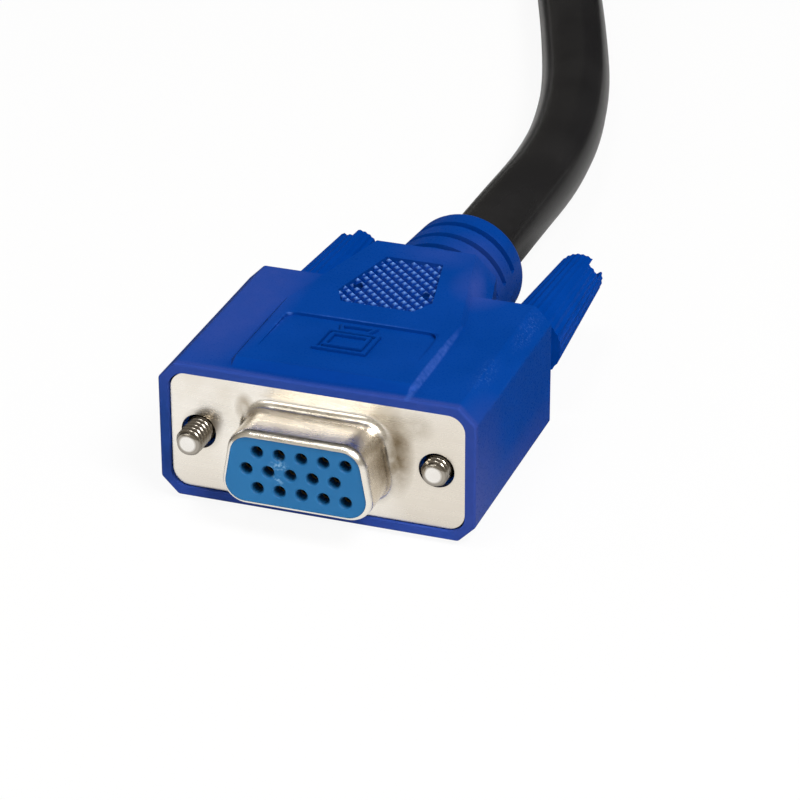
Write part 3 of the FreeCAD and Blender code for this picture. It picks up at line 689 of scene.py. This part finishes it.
def skin(mesh: bmesh.types.BMesh, rings: Sequence[Sequence[bmesh.types.BMVert]]) -> None:
    """Join each ring of corners to the next by faces.

    Args:
        mesh: the shape that the faces are added to.
        rings: rings with the same number of corners.
    """
    for first, second in zip(rings, rings[1:]):
        for place in range(len(first)):
            after = (place + 1) % len(first)
            mesh.faces.new((first[place], first[after], second[after], second[place]))


class Wardrobe:
    """Gives pieces their finishes, and builds each finish once."""

    def __init__(self) -> None:
        """Start with no finish built."""
        self.built: dict[str, bpy.types.Material] = {}

    def dress(self, piece: bpy.types.Object, finish: Finish) -> None:
        """Give a piece a finish.

        Args:
            piece: the piece.
            finish: the finish, which builds its own material.
        """
        if finish.name not in self.built:
            self.built[finish.name] = finish.material()
        piece.data.materials.clear()
        piece.data.materials.append(self.built[finish.name])
        LOG.info("%s is %s", piece.name, finish.name)


@dataclass
class CableRoute:
    """The cable's line: along the floor, round the hank, and up to the plug on top.

    Each layer of the hank has a wide and a tight turn. At the near fold, the line crosses inward
    or outward between them, or climbs to the next layer.
    """

    run: tuple[Triple, ...] = (
        (0.0, 0.013, 0.0074),
        (0.0, 0.037, 0.0074),
        (-0.0009, 0.061, 0.0054),
        (-0.0051, 0.083, 0.00445),
        (-0.0122, 0.105, 0.00425),
        (-0.0203, 0.127, 0.00455),
        (-0.0245, 0.149, 0.00505),
        (-0.0245, 0.169, 0.00505),
    )
    lead: tuple[Triple, ...] = (
        (-0.016, 0.180, 0.03055),
        (-0.016, 0.191, 0.03205),
        (-0.016, 0.202, 0.0337),
        (-0.016, 0.212, 0.0337),
        (-0.016, 0.224, 0.0337),
    )
    centre: float = 0.008
    near_fold: float = 0.176
    far_fold: float = 0.226
    strand_inset: float = 0.05 / 6
    wide: float = 0.0325
    tight: float = 0.024
    inward: tuple[float, ...] = (0.0325, 0.0325, 0.0325, 0.03055, 0.027625, 0.02472)
    outward: tuple[float, ...] = (0.02592, 0.029575, 0.03185, 0.0325, 0.0325, 0.0325)
    climb_shares: tuple[float, ...] = (0.08, 0.3, 0.62, 0.88, 1.0, 1.0)
    fold_points: int = 6
    layers: tuple[float, ...] = (0.00505, 0.01355, 0.02205, 0.03055)

    def fold(self, far: bool, radii: Sequence[float], heights: Sequence[float]) -> list[Triple]:
        """Give the points of one half loop of the hank, wound clockwise from above.

        Args:
            far: whether it is the fold away from the socket.
            radii: the fold's radius at each point.
            heights: the height at each point.

        Returns:
            The points.
        """
        step = math.pi / len(radii)
        reach = 1 / math.cos(step / 2)
        middle = self.far_fold if far else self.near_fold
        side = 1 if far else -1
        points = []
        for place, (radius, height) in enumerate(zip(radii, heights)):
            turn = step * (place + 0.5)
            across = self.centre - side * radius * reach * math.cos(turn)
            along = middle + side * radius * reach * math.sin(turn)
            points.append((across, along, height))
        return points

    def strand(self, far: bool, radius: float, height: float) -> list[Triple]:
        """Give the points of one straight strand, towards the far fold on the left side.

        Args:
            far: whether it leads to the far fold.
            radius: how far it is from the hank's middle line.
            height: its height.

        Returns:
            The points.
        """
        across = self.centre + (-radius if far else radius)
        places = (self.near_fold + self.strand_inset, self.far_fold - self.strand_inset)
        return [(across, along, height) for along in (places if far else places[::-1])]

    def loop(self, radius: float, height: float) -> list[Triple]:
        """Give the points up the left side, round the far fold and down the right side.

        Args:
            radius: how far the loop is from the hank's middle line.
            height: its height.

        Returns:
            The points.
        """
        around = self.fold(True, [radius] * self.fold_points, [height] * self.fold_points)
        return [*self.strand(True, radius, height), *around, *self.strand(False, radius, height)]

    def cross(self, radii: Sequence[float], height: float) -> list[Triple]:
        """Give the points of a level near fold between a wide and a tight turn."""
        return self.fold(False, radii, [height] * len(radii))

    def climb(self, radius: float, start: float, end: float) -> list[Triple]:
        """Give the points of a near fold that climbs from one layer to the next.

        Args:
            radius: the fold's radius.
            start: the lower layer's height.
            end: the upper layer's height.

        Returns:
            The points.
        """
        heights = [start + (end - start) * share for share in self.climb_shares]
        return self.fold(False, [radius] * len(heights), heights)

    def points(self) -> list[Triple]:
        """Give all control points in order, from inside the boot to inside the plug's boot.

        Returns:
            The points.
        """
        low, middle, high, top = self.layers
        wide, tight = self.wide, self.tight
        stretches = (
            self.run,
            self.loop(wide, low),
            self.cross(self.inward, low),
            self.loop(tight, low),
            self.climb(tight, low, middle),
            self.loop(tight, middle),
            self.cross(self.outward, middle),
            self.loop(wide, middle),
            self.climb(wide, middle, high),
            self.loop(wide, high),
            self.cross(self.inward, high),
            self.loop(tight, high),
            self.climb(tight, high, top),
            self.lead,
        )
        return [point for stretch in stretches for point in stretch]


@dataclass
class Cable:
    """The cable itself, one smooth curve from the socket end to the plug."""

    route: CableRoute
    diameter: float = 0.0085
    length: float = 1.85
    leaves: Triple = (0.0, 0.0255, 0.0074)
    bevel_steps: int = 10
    curve_steps: int = 8

    def build(self, carried: Sequence[str]) -> bpy.types.Object:
        """Args:
            carried: the pieces on it: its far connector's and the hank's strap; not used.

        Returns:
            The curve's object.
        """
        data = bpy.data.curves.new("video_cable", "CURVE")
        data.dimensions = "3D"
        data.bevel_depth = 1.0  # each point's own radius then is the tube's radius
        data.bevel_resolution = self.bevel_steps
        data.resolution_u = self.curve_steps
        data.use_fill_caps = True
        points = self.route.points()
        spline = data.splines.new("NURBS")
        spline.points.add(len(points) - 1)
        for point, place in zip(spline.points, points):
            point.co = (*place, 1)
            point.radius = self.diameter / 2
        spline.order_u = 3
        spline.use_endpoint_u = True
        spline.use_smooth = True
        piece = new_object("video_cable", data)
        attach(piece, "connector")
        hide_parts("cable_run", "cable_hank", "cable_lead")
        return piece


@dataclass
class CaptiveScrew:
    """A thumbscrew's steel screw with its cut thread, groove and tapered tip.

    The thread's ridge falls from its top height by its slope towards the root, and is cut off at
    0 and 1. The tip's power rounds its taper.
    """

    name: str
    facing: Facing
    crest: float = 1.42 * MM
    root: float = 1.1 * MM
    pitch: float = 0.635 * MM
    thread: float = 5.5 * MM
    run_out: float = 0.1 * MM
    ridge_top: float = 1.12
    ridge_slope: float = 1.35
    shank: float = 1.2 * MM
    groove: float = 0.95 * MM
    groove_start: float = 9.9 * MM
    groove_end: float = 10.95 * MM
    groove_slant: float = 0.02 * MM
    length: float = 42.0 * MM
    tip: float = 0.72 * MM
    tip_power: float = 1.7
    taper: float = 0.34 * MM
    sides: int = 32
    rows_a_pitch: int = 9
    smooth_angle: float = 50.0

    def ridge(self, phase: float) -> float:
        """Give the thread's height, from 0 at its root to 1 at its crest, at a share of a pitch."""
        away = abs((phase % 1.0) - 0.5) * 2
        return min(1.0, max(0.0, self.ridge_top - away * self.ridge_slope))

    def radius(self, along: float, turn: float) -> float:
        """Give the threaded part's radius at one place.

        Args:
            along: the distance from the tip.
            turn: the share of a turn.

        Returns:
            The radius.
        """
        rest = 1 - min(1.0, along / self.taper)
        cone = self.crest - (self.crest - self.tip) * rest**self.tip_power
        fade = min(1.0, max(0.0, (self.thread - along) / self.pitch))
        height = self.ridge(along / self.pitch - turn) * fade
        return min(cone, self.root + (self.crest - self.root) * height)

    def screw_shade(self, along: float, radius: float) -> float:
        """Give the screw's painted shade: 0 on its end, half on crests and shank, 1 in the groove.

        Args:
            along: the distance from the tip.
            radius: the radius there.

        Returns:
            The shade.
        """
        if along <= 0:
            return 0.0
        depth = 0.0
        if self.taper / 2 < along < self.thread:
            depth = (self.crest - radius) / (self.crest - self.root)
        return HALF_SHADE + (1 - HALF_SHADE) * min(1.0, depth)

    def rows(self) -> list[tuple[float, list[float]]]:
        """Give the rings of the screw, from its tip to its end.

        Returns:
            Each ring's distance from the tip and its radius at each side.
        """
        rings = []
        count = math.ceil(self.thread / self.pitch * self.rows_a_pitch)
        for step in range(count + 1):
            along = self.thread * step / count
            radii = [self.radius(along, side / self.sides) for side in range(self.sides)]
            rings.append((along, radii))
        for along, radius in (
            (self.thread + self.run_out, self.shank),
            (self.groove_start, self.shank),
            (self.groove_start + self.groove_slant, self.groove),
            (self.groove_end - self.groove_slant, self.groove),
            (self.groove_end, self.shank),
            (self.length, self.shank),
        ):
            rings.append((along, [radius] * self.sides))
        return rings

    def build(self) -> bpy.types.Object:
        """Build the screw in place of its node.

        Returns:
            The screw's object.
        """
        low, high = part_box(f"{self.name}_screw")
        across, up = (low.x + high.x) / 2, (low.z + high.z) / 2
        tip = low.y if self.facing is Facing.NEAR else high.y
        mesh = bmesh.new()
        shade_layer = mesh.verts.layers.float.new(SHADE_ATTRIBUTE)
        rings = []
        for along, radii in self.rows():
            depth = tip - self.facing.value * along
            ring = []
            for side, radius in enumerate(radii):
                angle = 2 * math.pi * side / self.sides
                aside, rise = radius * math.cos(angle), radius * math.sin(angle)
                corner = mesh.verts.new((across + aside, depth, up + rise))
                corner[shade_layer] = self.screw_shade(along, radius)
                ring.append(corner)
            rings.append(ring)
        skin(mesh, rings)
        mesh.faces.new(rings[0])
        mesh.faces.new(rings[-1])
        piece = link_mesh(f"{self.name}_threaded_screw", mesh, self.smooth_angle)
        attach(piece, f"{self.name}_thumbscrew")
        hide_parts(f"{self.name}_screw")
        return piece


@dataclass
class PanelEmblem:
    """The raised picture of a screen on its stand, moulded on the label panel.

    The stand's lines are thinner in front and wider at its slanting sides, as multiples of a line.
    """

    panel_front: float = -16.7 * MM
    panel_rear: float = -7.5 * MM
    panel_top: float = 15.7 * MM
    panel_drop: float = 0.32 * MM
    height: float = 0.32 * MM
    buried: float = 0.1 * MM
    soften: float = 0.06 * MM
    soften_steps: int = 2
    line: float = 0.42 * MM
    case: Box = (-2.85 * MM, -14.75 * MM, 2.85 * MM, -9.95 * MM)
    screen: Box = (-2.12 * MM, -13.75 * MM, 2.1 * MM, -10.65 * MM)
    stand: tuple[Pair, ...] = (
        (-1.55 * MM, -10.05 * MM),
        (1.45 * MM, -10.05 * MM),
        (2.05 * MM, -8.45 * MM),
        (-2.1 * MM, -8.45 * MM),
    )
    stand_front: float = 1 / 3
    stand_side: float = 1.3

    def level(self, along: float) -> float:
        """Give the panel's height at a distance along Y."""
        share = (along - self.panel_front) / (self.panel_rear - self.panel_front)
        return self.panel_top - self.panel_drop * share

    def wall(self, mesh: bmesh.types.BMesh, outline: Sequence[Pair], hole: Sequence[Pair]) -> None:
        """Raise a closed wall between two outlines with the same number of corners.

        Args:
            mesh: the shape that it is added to.
            outline: the outer corners.
            hole: the inner corners.
        """
        foot, top = -self.buried, self.height
        rings = []
        for corners, lift in ((outline, foot), (outline, top), (hole, top), (hole, foot)):
            rings.append([mesh.verts.new((x, y, self.level(y) + lift)) for x, y in corners])
        skin(mesh, [*rings, rings[0]])

    def frame(self, mesh: bmesh.types.BMesh, box: Box) -> None:
        """Raise a line round a box, inside its edges.

        Args:
            mesh: the shape that it is added to.
            box: the left, front, right and rear edges.
        """
        rings = []
        for inset in (0.0, self.line):
            left, front = box[0] + inset, box[1] + inset
            right, rear = box[2] - inset, box[3] - inset
            rings.append([(left, front), (right, front), (right, rear), (left, rear)])
        self.wall(mesh, *rings)

    def build(self) -> bpy.types.Object:
        """Build the emblem.

        Returns:
            The emblem's object.
        """
        mesh = bmesh.new()
        self.frame(mesh, self.case)
        self.frame(mesh, self.screen)
        (left, front), (right, _), (far_right, rear), (far_left, _) = self.stand
        inner_front, inner_rear = front + self.line * self.stand_front, rear - self.line
        slanting = self.line * self.stand_side
        hole = [
            (left + self.line, inner_front),
            (right - self.line, inner_front),
            (far_right - slanting, inner_rear),
            (far_left + slanting, inner_rear),
        ]
        self.wall(mesh, self.stand, hole)
        bmesh.ops.bevel(
            mesh,
            geom=list(mesh.edges),
            offset=self.soften,
            segments=self.soften_steps,
            affect="EDGES",
            clamp_overlap=True,
        )
        piece = link_mesh("panel_emblem", mesh)
        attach(piece, "connector")
        return piece


@dataclass
class Strap:
    """The band round the hank's right-hand strands: one turn and a lapped, rounded end.

    The tongue gives the rounded end as distances below the lap's end, each with its share of the
    band's width.
    """

    left: float = 27.35 * MM
    right: float = 45.15 * MM
    low: float = 0.4 * MM
    high: float = 26.7 * MM
    corner: float = 4.65 * MM
    middle: float = 203.5 * MM
    width: float = 5.0 * MM
    thick: float = 0.8 * MM
    lap_rise: float = 0.9 * MM
    lap_end: float = 11.0 * MM
    tongue: tuple[Pair, ...] = ((0.0, 1.0), (1.0 * MM, 0.9), (1.7 * MM, 0.66), (2.1 * MM, 0.3))
    arc_steps: int = 8

    def arc(self, across: float, up: float, start: float) -> list[tuple[Vector, Vector]]:
        """Give a quarter round about a corner's centre, as places with their outward directions.

        Args:
            across: the centre's X.
            up: the centre's Z.
            start: the angle in degrees that it starts at.

        Returns:
            The places on the band's middle line.
        """
        stops = []
        for step in range(self.arc_steps + 1):
            turn = math.radians(start + 90 * step / self.arc_steps)
            outward = Vector((math.cos(turn), 0, math.sin(turn)))
            stops.append((Vector((across, self.middle, up)) + outward * self.corner, outward))
        return stops

    def line(self) -> list[tuple[Vector, Vector, float]]:
        """Give the band's middle line, once round and along the lap.

        Returns:
            The places with their outward directions and the share of the band's width.
        """
        left, right = self.left + self.corner, self.right - self.corner
        low, high = self.low + self.corner, self.high - self.corner
        start = (Vector(((left + right) / 2, self.middle, self.high)), Vector((0, 0, 1)))
        lapped = [start, *self.arc(left, high, 90)]
        turn = [*lapped, *self.arc(left, low, 180), *self.arc(right, low, 270)]
        stops = [(place, outward, 1.0) for place, outward in [*turn, *self.arc(right, high, 0)]]
        for place, outward in lapped:
            stops.append((place + outward * self.lap_rise, outward, 1.0))
        for drop, share in self.tongue:
            place = Vector((self.left - self.lap_rise, self.middle, self.lap_end - drop))
            stops.append((place, Vector((-1, 0, 0)), share))
        return stops

    def build(self) -> bpy.types.Object:
        """Build the strap in place of the hank's plain tie.

        Returns:
            The strap's object.
        """
        mesh = bmesh.new()
        rings = []
        for place, outward, share in self.line():
            aside = Vector((0, self.width / 2 * share, 0))
            depth = outward * (self.thick / 2)
            inner, outer = place - depth, place + depth
            spots = (inner - aside, inner + aside, outer + aside, outer - aside)
            rings.append([mesh.verts.new(spot) for spot in spots])
        skin(mesh, rings)
        mesh.faces.new(rings[0])
        mesh.faces.new(rings[-1])
        piece = link_mesh("lapped_strap", mesh)
        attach(piece, "connector")
        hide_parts("hank_tie")
        return piece


@dataclass
class Connector:
    """One end of the cable: its nodes, and the finishes that they get."""

    prefix: str
    contacts: str
    facing: Facing

    def finishes(self) -> dict[str, Finish]:
        """Give the finishes of the end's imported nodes.

        Returns:
            The finishes by node.
        """
        finishes: dict[str, Finish] = {
            "hood": HOOD_BLUE,
            "front_shell": NICKEL,
            "rear_shell": NICKEL,
            "front_insulator": FACE_BLUE,
            "rear_insulator": FACE_BLUE,
            self.contacts: SHADED_CONTACT_GOLD,
            "inner_mould": CORE_WHITE,
            "left_grip": GRIP_BLUE,
            "right_grip": GRIP_BLUE,
            "left_retainer": SPRING_STEEL,
            "right_retainer": SPRING_STEEL,
        }
        return {self.prefix + word: finish for word, finish in finishes.items()}

    def dress(self, wardrobe: Wardrobe, nodes: dict[str, bpy.types.Object]) -> list[str]:
        """Give the end's nodes their finishes and build its screws.

        Args:
            wardrobe: the finishes.
            nodes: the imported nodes.

        Returns:
            The names of the end's pieces.
        """
        names = []
        for name, finish in self.finishes().items():
            wardrobe.dress(nodes[name], finish)
            names.append(name)
        for side in ("left", "right"):
            screw = CaptiveScrew(f"{self.prefix}{side}", self.facing).build()
            wardrobe.dress(screw, SCREW_STEEL)
            names.append(screw.name)
        return names


@dataclass
class PhotoCamera:
    """The camera at the photograph's place."""

    eye: Triple = (0.110988, -0.306322, 0.169473)
    back: Triple = (0.30052564, -0.83863259, 0.45429034)
    right: Triple = (0.94186988, 0.33596561, -0.00287115)
    focal: float = 158.455
    sensor: float = 36.0
    clip: Pair = (0.01, 20.0)

    def build(self) -> None:
        """Build the camera and make it the scene's."""
        data = bpy.data.cameras.new("photo_camera")
        data.lens = self.focal
        data.sensor_width = self.sensor
        data.clip_start, data.clip_end = self.clip
        back, right = Vector(self.back).normalized(), Vector(self.right).normalized()
        up = back.cross(right)
        turn = Matrix((right, up, back)).transposed()
        camera = new_object("photo_camera", data)
        camera.matrix_world = Matrix.Translation(Vector(self.eye)) @ turn.to_4x4()
        bpy.context.scene.camera = camera


@dataclass
class Softbox:
    """A large soft lamp that looks at the object."""

    name: str
    place: Triple
    size: Pair
    power: float
    target: Triple = (0.0, 0.0, 0.01)

    def build(self) -> None:
        """Build the lamp."""
        data = bpy.data.lights.new(self.name, "AREA")
        data.shape = "RECTANGLE"
        data.size, data.size_y = self.size
        data.energy = self.power
        lamp = new_object(self.name, data)
        lamp.location = self.place
        away = Vector(self.place) - Vector(self.target)
        lamp.rotation_euler = away.to_track_quat("Z", "Y").to_euler()


@dataclass
class Studio:
    """A pale floor under soft lamps in a pale room.

    Reflections alone see a painted glow on the floor, bright in front of the socket, and painted
    shade beside the connector and the first stretch of cable. Each pair of places is where one of
    these fades into another: along Y, or across the cable's slanting line.
    """

    floor_size: float = 8.0
    floor_drop: float = 0.00003
    floor_white: float = 0.86
    floor_roughness: float = 0.9
    seen_glow: float = 0.92
    mirrored_front: float = 0.97
    mirrored_side: float = 0.03
    mirrored_share: float = 0.97
    right_share: float = 0.4
    front_end: Pair = (-0.0275, 0.0025)
    connector_end: Pair = (0.04, 0.0625)
    stretch_end: Pair = (0.2, 0.5)
    cable_slant: float = 0.263
    cable_left: Pair = (-0.0055, 0.0105)
    cable_right: Pair = (0.022, 0.07)
    room_colour: Colour = (1.0, 0.93, 0.81)
    room_fade: Pair = (-0.4, 0.5)
    front_light: float = 0.36
    rear_light: float = 0.06
    lamps: tuple[Softbox, ...] = (
        Softbox("key_box", (0.425, -0.30, 0.67), (0.3, 0.3), 6.4),
        Softbox("top_box", (-0.09, -0.18, 0.68), (0.2, 0.16), 0.9),
        Softbox("front_box", (-0.33, -0.74, 0.34), (0.3, 0.22), 0.6),
        Softbox("rear_left_box", (-0.75, 0.55, 0.35), (0.4, 0.3), 1.0),
    )

    def mirrored_part(self, bench: ShaderBench, along: NodeSocket) -> NodeSocket:
        """Give how much of the floor's own look its painted reflected look replaces.

        Args:
            bench: the floor's nodes.
            along: the floor's Y.

        Returns:
            The reflected look's share.
        """
        beside = bench.ramp(along, self.connector_end, (self.mirrored_share, 0.0))
        slanted = bench.add("ShaderNodeVectorMath")
        slanted.operation = "DOT_PRODUCT"
        slanted.inputs[1].default_value = (1.0, self.cable_slant, 0.0)
        bench.link(bench.place, slanted.inputs[0])
        across = slanted.outputs["Value"]
        left = bench.ramp(across, self.cable_left, (self.mirrored_share, 0.0))
        right = bench.ramp(across, self.cable_right, (self.right_share, self.mirrored_share))
        near = bench.ramp(along, self.stretch_end, (1.0, 0.0))
        return bench.larger(beside, bench.times(bench.larger(left, right), near))

    def floor_material(self) -> bpy.types.Material:
        """Build the floor's finish, white to the eye and shaded by the object, with a painted glow
        and shade for reflections.

        Returns:
            The material.
        """
        bench = ShaderBench("floor_white")
        white = (self.floor_white, self.floor_white, self.floor_white, 1)
        bench.fill(bench.shader, Base_Color=white, Roughness=self.floor_roughness)
        bench.fill(bench.shader, Specular_IOR_Level=0.0)
        along = bench.axes(bench.place)["Y"]
        seen = bench.add("ShaderNodeEmission", Color=(1, 1, 1, 1), Strength=1.0)
        mirrored = bench.add("ShaderNodeEmission", Strength=1.0)
        glow = bench.ramp(along, self.front_end, (self.mirrored_front, self.mirrored_side))
        bench.link(glow, mirrored.inputs["Color"])
        part = self.mirrored_part(bench, along)
        path = bench.add("ShaderNodeLightPath")
        surface = bench.shader.outputs["BSDF"]
        for ray, share, light in (
            ("Is Camera Ray", self.seen_glow, seen),
            ("Is Glossy Ray", part, mirrored),
            ("Is Transmission Ray", part, mirrored),
        ):
            amount = bench.times(path.outputs[ray], share)
            surface = bench.overlay(amount, surface, light.outputs["Emission"])
        bench.link(surface, bench.tree.nodes["Material Output"].inputs["Surface"])
        return bench.material

    def room(self) -> None:
        """Build the room's light, stronger in front and white where the eye sees it."""
        world = bpy.data.worlds.new("room")
        world.use_nodes = True
        bench = NodeBench(world.node_tree)
        light = bench.tree.nodes["Background"]
        bench.fill(light, Color=(*self.room_colour, 1))
        heading = bench.axes(bench.add("ShaderNodeTexCoord").outputs["Generated"])
        fade = bench.ramp(heading["Y"], self.room_fade, (self.front_light, self.rear_light))
        bench.link(fade, light.inputs["Strength"])
        seen = bench.add("ShaderNodeBackground", Color=(1, 1, 1, 1), Strength=1.0)
        eye = bench.add("ShaderNodeLightPath").outputs["Is Camera Ray"]
        surface = bench.overlay(eye, light.outputs["Background"], seen.outputs["Background"])
        bench.link(surface, bench.tree.nodes["World Output"].inputs["Surface"])
        bpy.context.scene.world = world

    def build(self) -> None:
        """Build the floor, the room and the lamps."""
        mesh = bmesh.new()
        bmesh.ops.create_grid(mesh, x_segments=1, y_segments=1, size=self.floor_size / 2)
        bmesh.ops.translate(mesh, verts=mesh.verts, vec=(0, 0, -self.floor_drop))
        floor = link_mesh("floor", mesh)
        floor.data.materials.append(self.floor_material())
        self.room()
        for lamp in self.lamps:
            lamp.build()
        bpy.context.scene.view_settings.view_transform = "Standard"


def write_sizes() -> None:
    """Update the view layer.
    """
    bpy.context.view_layer.update()


def main() -> None:
    """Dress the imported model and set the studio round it."""
    logging.basicConfig(level=logging.INFO, format="%(message)s")
    for start_object in list(bpy.data.objects):
        bpy.data.objects.remove(start_object)
    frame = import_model()
    nodes = frame["nodes"]
    wardrobe = Wardrobe()
    PhotoCamera().build()
    Connector("", "contacts", Facing.NEAR).dress(wardrobe, nodes)
    plug_pieces = Connector("far_", "pins", Facing.FAR).dress(wardrobe, nodes)
    wardrobe.dress(PanelEmblem().build(), HOOD_BLUE)
    strap = Strap().build()
    wardrobe.dress(strap, STRAP_BLACK)
    cable = Cable(CableRoute()).build([*plug_pieces, strap.name])
    wardrobe.dress(cable, JACKET_BLACK)
    Studio().build()
    write_sizes()


if __name__ == "__main__":
    main()
